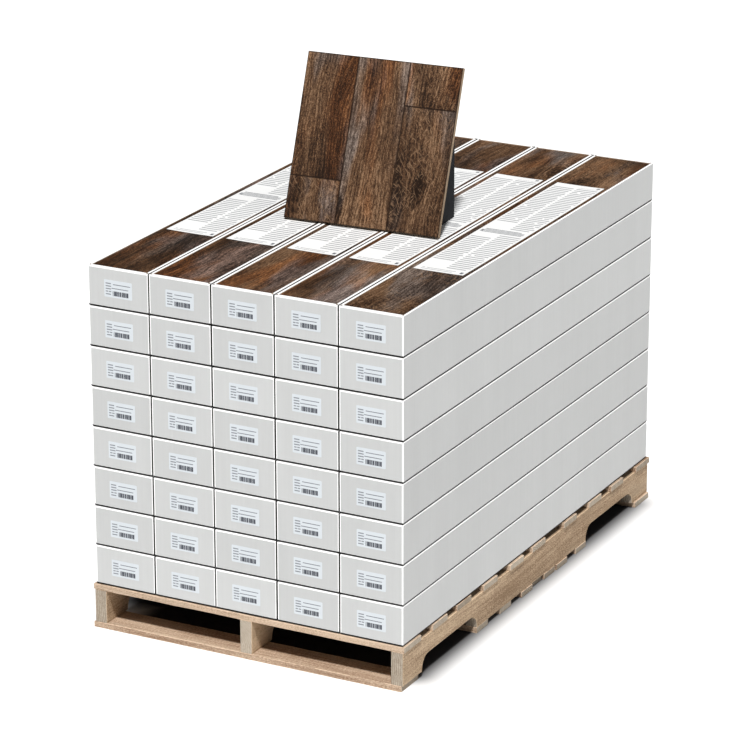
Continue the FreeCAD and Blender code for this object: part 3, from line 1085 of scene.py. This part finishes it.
@dataclass
class DisplaySample:
    """The square of flooring in five sawn pieces, leaning back on its easel."""

    tilt: float = 21.0
    yaw: float = 3.0
    fold: float = 0.6 * MM
    painted_edge: float = 1.1 * MM
    front_limit: float = 0.95
    printed_limit: float = 0.3
    core: CoreFinish = CoreFinish("sample_core", rgb(0.42, 0.31, 0.21), rgb(0.26, 0.185, 0.12))
    easel: EaselFinish = EaselFinish()
    finishes: dict[str, OakFinish] = field(default_factory=lambda: {
        "left_upper": OakFinish("sample_left_upper_oak", 41.3, knots=1.0, saw_marks=0.15, contrast=1.15,
                                lift=-0.18),
        "left_lower": OakFinish("sample_left_lower_oak", 47.9, greying=1.0, knots=0.3,
                                saw_marks=0.9, contrast=0.9, lift=0.02),
        "middle": OakFinish("sample_middle_oak", 53.2, knots=0.8, saw_marks=0.1, contrast=1.0, lift=0.2),
        "right_lower": OakFinish("sample_right_lower_oak", 61.6, knots=0.9, saw_marks=0.9, lift=-0.1),
        "right_upper": OakFinish("sample_right_upper_oak", 68.1, knots=0.4, saw_marks=1.0, contrast=1.2,
                                 lift=0.08),
    })

    def build(self) -> None:
        """Model the pieces and the easel."""
        turn = Euler((math.radians(-self.tilt), 0.0, math.radians(self.yaw))).to_matrix()
        back = turn.inverted()

        def is_front(face: Face | bmesh.types.BMFace) -> bool:
            return (back @ face.normal).y < -self.front_limit

        core = self.core.material()
        for name, finish in self.finishes.items():
            node = "sample_" + name
            piece = Bench.from_node(node, node + "_piece")
            Bench.pick(piece, faces=is_front)
            bpy.ops.mesh.inset(thickness=self.painted_edge, depth=0.0)
            Bench.leave()
            field_area = max(face.area for face in piece.data.polygons if is_front(face))
            Marks.lay(piece, lambda corner, normal: tuple((back @ corner).xz))
            Marks.paint(piece, Layer.EDGE, lambda face: 0.0 if face.area > field_area / 2 else 1.0)
            Marks.slots(piece, [finish.material(), core],
                        lambda face: int((back @ face.normal).y >= -self.printed_limit))
            put_on_frame(piece, "laminate_face", node)
        self._easel()

    def _easel(self) -> None:
        """The folded easel, its sheet edges eased."""
        piece = Bench.from_node("sample_easel", "sample_easel_sheet")
        before = {tuple(round(part, 3) for part in face.normal) for face in piece.data.polygons}
        Bench.ease(piece, self.fold, 25.0)
        Marks.paint(piece, Layer.EDGE, lambda face: 0.0 if tuple(
            round(part, 3) for part in face.normal) in before else 1.0)
        Marks.slots(piece, [self.easel.material()])
        put_on_frame(piece, "black_plastic", "sample_easel")


@dataclass
class InsertSheets:
    """The printed sheets that lie on the top planks."""

    columns: int = 8
    rows: int = 40
    curl: float = 1.1 * MM
    curl_start: float = 1.9
    wave: float = 0.35
    easel_middle: float = -0.27
    easel_reach: float = 0.4
    seed: int = 23
    nudges: tuple[float, ...] = (-2.5 * MM, -2.5 * MM, -2.5 * MM, -2.5 * MM, 0.0)
    finish: PrintedFinish = PrintedFinish(
        "insert_paper", rgb(0.9, 0.9, 0.89), rgb(0.12, 0.13, 0.15),
        blocks=(
            print_area(14, 100, 9, 27, row=9.0, fill=0.4, word=14, strength=0.6),
            print_area(5, 60, 92, 300),
            print_area(67, 123, 36, 322),
            print_area(12, 118, 334, 366, row=8.0, fill=0.6, word=20, strength=0.8),
            print_area(5, 60, 432, 760),
            print_area(67, 123, 376, 770),
        ),
        marks=(
            print_area(114, 122, 7, 20, strength=0.95),
            print_area(6, 13, 336, 352, strength=0.8),
            print_area(112, 121, 774, 784, strength=0.8),
        ))

    def build(self) -> None:
        """Model each sheet as a thin, slightly curled leaf and join them."""
        chance = random.Random(self.seed)
        material = self.finish.material()
        leaves = []
        for number, ((low, high), nudge) in enumerate(zip(solids("insert_sheets"), self.nudges)):
            shift = Vector((nudge, 0.0, 0.0))
            leaves.append(self._leaf(number, (low + shift, high + shift), material, chance))
        put_on_frame(Bench.join("insert_leaves", leaves), "printed_paper", "insert_sheets")

    def _leaf(self, number: int, box: Box, material: Material, chance: random.Random) -> Piece:
        """One leaf: a fine grid, lifted at its corners and given a paper's thickness."""
        low, high = box
        bpy.ops.object.select_all(action="DESELECT")
        middle = (low + high) / 2
        bpy.ops.mesh.primitive_grid_add(x_subdivisions=self.columns, y_subdivisions=self.rows, size=1.0,
                                        location=(middle.x, middle.y, low.z))
        leaf = bpy.context.object
        leaf.scale = (high.x - low.x, high.y - low.y, 1.0)
        leaf.name = leaf.data.name = f"leaf_{number}"
        Bench.settle(leaf)
        Marks.lay(leaf, lambda corner, normal: (corner.x - low.x, corner.y - low.y))
        phase = chance.uniform(0.0, 6.0)
        for vertex in leaf.data.vertices:
            u = 2 * (vertex.co.x - middle.x) / (high.x - low.x)
            v = 2 * (vertex.co.y - middle.y) / (high.y - low.y)
            corner = max(0.0, abs(u) + abs(v) * 1.5 - self.curl_start)
            clear_of_easel = min(max((abs(v - self.easel_middle) - self.easel_reach) / 0.3, 0.0), 1.0)
            wave = 0.5 + 0.5 * math.sin(9.0 * v + 1.5 * u + phase)
            vertex.co.z += self.curl * (corner + self.wave * wave * clear_of_easel)
        Marks.slots(leaf, [material])
        Bench.modify(leaf, "SOLIDIFY", thickness=high.z - low.z, offset=1.0)
        return leaf


@dataclass
class EndLabels:
    """The stickers on the front ends of the cartons."""

    corner: float = 2.0 * MM
    finish: PrintedFinish = PrintedFinish(
        "label_paper", rgb(0.62, 0.655, 0.685), rgb(0.03, 0.035, 0.05),
        blocks=(
            print_area(4, 19, 6, 38, row=6.5, fill=0.42, word=7, strength=0.7),
            print_area(24, 71, 31, 33, row=5.0, fill=0.5, word=8, strength=0.75),
            print_area(20, 71, 21.5, 23.5, row=5.0, fill=0.5, word=8, strength=0.75),
        ),
        bars=print_area(23, 65, 4.5, 16.0, fill=0.55, word=2.4, strength=0.97))

    def build(self) -> None:
        """Model one label, copy it to every carton and join them."""
        places = solids("end_labels")
        low, high = places[0]
        pattern = Bench.block("label_pattern", low, high)
        is_corner: EdgeTest = lambda edge: abs(edge.verts[0].co.y - edge.verts[1].co.y) > HAIR
        Bench.bevel(pattern, is_corner, self.corner, 3)
        Marks.lay(pattern, lambda corner, normal: (corner.x - low.x, corner.z - low.z))
        Marks.slots(pattern, [self.finish.material()])
        copies = [Bench.copy(pattern, f"label_{number}", box[0] - low) for number, box in enumerate(places)]
        Bench.drop(pattern)
        put_on_frame(Bench.join("carton_labels", copies), "label_paper", "end_labels")


# The studio -----------------------------------------------------------------------------------


@dataclass(frozen=True)
class Sun:
    """A distant lamp.

    Its light comes from an azimuth and elevation in degrees; the wider its spread, also in degrees, the
    softer its shadows.
    """

    name: str
    azimuth: float
    elevation: float
    power: float
    spread: float


@dataclass
class Studio:
    """Camera, pale floor with a shadow painted under the pallet, and soft light."""

    eye: Vector = field(default_factory=lambda: Vector((3.891, -7.4616, 3.4522)))
    azimuth: float = 27.801
    elevation: float = 19.282
    roll: float = -0.115
    lens: float = 176.91
    sensor: float = 36.0
    floor_half: float = 60.0
    # Painted shadow: floor rectangles, given as x range then y range, coloured dark with soft edges under
    # the pallet and just past its right side.
    painted_floor_shadow: tuple[tuple[tuple[float, float], ...], ...] = (
        ((-0.37, 0.435), (-0.635, 0.68)), ((-0.46, 0.0), (-0.56, 0.6)))
    painted_shadow_edge: float = 0.05
    sky: float = 0.07
    floor: Colour = rgb(0.9, 0.9, 0.9)
    # Colour of the shadow painted on the floor.
    painted_shadow_colour: Colour = rgb(0.028, 0.027, 0.029)
    suns: tuple[Sun, ...] = (
        Sun("key_light", 27.5, 60.0, 4.0, 5.0), Sun("side_light", 82.0, 34.0, 0.4, 40.0))
    wash: Sun = Sun("floor_wash", -60.0, 82.0, 0.6, 24.0)

    def build(self) -> None:
        """Set up everything round the load."""
        self._camera()
        floor = self._floor()
        self._sky()
        for sun in self.suns:
            self._lamp(sun)
        only_floor = bpy.data.collections.new("floor_only")
        only_floor.objects.link(floor)
        self._lamp(self.wash).light_linking.receiver_collection = only_floor

    def _camera(self) -> None:
        """The camera, level but for a slight roll."""
        data = bpy.data.cameras.new("camera")
        data.lens, data.sensor_width = self.lens, self.sensor
        data.clip_start, data.clip_end = 0.1, 500.0
        camera = bpy.data.objects.new("camera", data)
        bpy.context.scene.collection.objects.link(camera)
        aim = self._aim(self.azimuth, self.elevation, self.roll)
        camera.matrix_world = Matrix.Translation(self.eye) @ aim
        bpy.context.scene.camera = camera

    @staticmethod
    def _aim(azimuth: float, elevation: float, roll: float = 0.0) -> Matrix:
        """The turn of a camera or light that looks at the load from a direction in degrees."""
        turn, rise, lean = (math.radians(angle) for angle in (azimuth, elevation, roll))
        back = Vector((math.sin(turn) * math.cos(rise), -math.cos(turn) * math.cos(rise), math.sin(rise)))
        side = Vector((math.cos(turn), math.sin(turn), 0.0))
        above = back.cross(side)
        right = side * math.cos(lean) + above * math.sin(lean)
        upward = above * math.cos(lean) - side * math.sin(lean)
        return Matrix((right, upward, back)).transposed().to_4x4()

    def _floor(self) -> Piece:
        """A pale floor, with a soft-edged shadow painted into its colour under the pallet and just beside
        it.
        """
        bpy.ops.object.select_all(action="DESELECT")
        bpy.ops.mesh.primitive_plane_add(size=2 * self.floor_half)
        floor = bpy.context.object
        floor.name = "floor"

        def build(graph: Graph) -> dict[str, Any]:
            split = graph.add("ShaderNodeSeparateXYZ", {0: graph.solid()}).outputs
            # Painted shadow: the floor's colour turns dark inside each rectangle and fades out over its
            # soft edge.
            painted_shadow_share: Any = 0.0
            for patch in self.painted_floor_shadow:
                inside: Any = 1.0
                for axis, (low, high) in enumerate(patch):
                    away = graph.math("ABSOLUTE", graph.math("SUBTRACT", split[axis], (low + high) / 2))
                    half = (high - low) / 2
                    beyond = graph.rise(away, half - self.painted_shadow_edge, half + self.painted_shadow_edge)
                    inside = graph.times(inside, graph.math("SUBTRACT", 1.0, beyond))
                painted_shadow_share = graph.math("MAXIMUM", painted_shadow_share, inside)
            return {"Base Color": graph.mix(painted_shadow_share, self.floor, self.painted_shadow_colour)}

        floor.data.materials.append(surface("floor_white_with_painted_shadow", build, Roughness=0.9, Specular_IOR_Level=0.0))
        return floor

    def _sky(self) -> None:
        """Even white light from all round."""
        world = bpy.data.worlds.new("studio")
        world.use_nodes = True
        background = world.node_tree.nodes["Background"]
        background.inputs["Color"].default_value = rgb(1.0, 1.0, 1.0)
        background.inputs["Strength"].default_value = self.sky
        bpy.context.scene.world = world
        bpy.context.scene.view_settings.view_transform = "Standard"

    def _lamp(self, sun: Sun) -> Piece:
        """Hang a distant lamp."""
        data = bpy.data.lights.new(sun.name, "SUN")
        data.energy, data.angle = sun.power, math.radians(sun.spread)
        lamp = bpy.data.objects.new(sun.name, data)
        bpy.context.scene.collection.objects.link(lamp)
        lamp.matrix_world = self._aim(sun.azimuth, sun.elevation)
        return lamp


def main() -> None:
    """Build the load and the studio round it."""
    logging.basicConfig(level=logging.INFO, format="%(name)s: %(message)s")
    for assembly in (Studio, Pallet, Cartons, FlooringFaces, InsertSheets, EndLabels, DisplaySample):
        LOG.info("building %s", assembly.__name__)
        assembly().build()


if __name__ == "__main__":
    main()
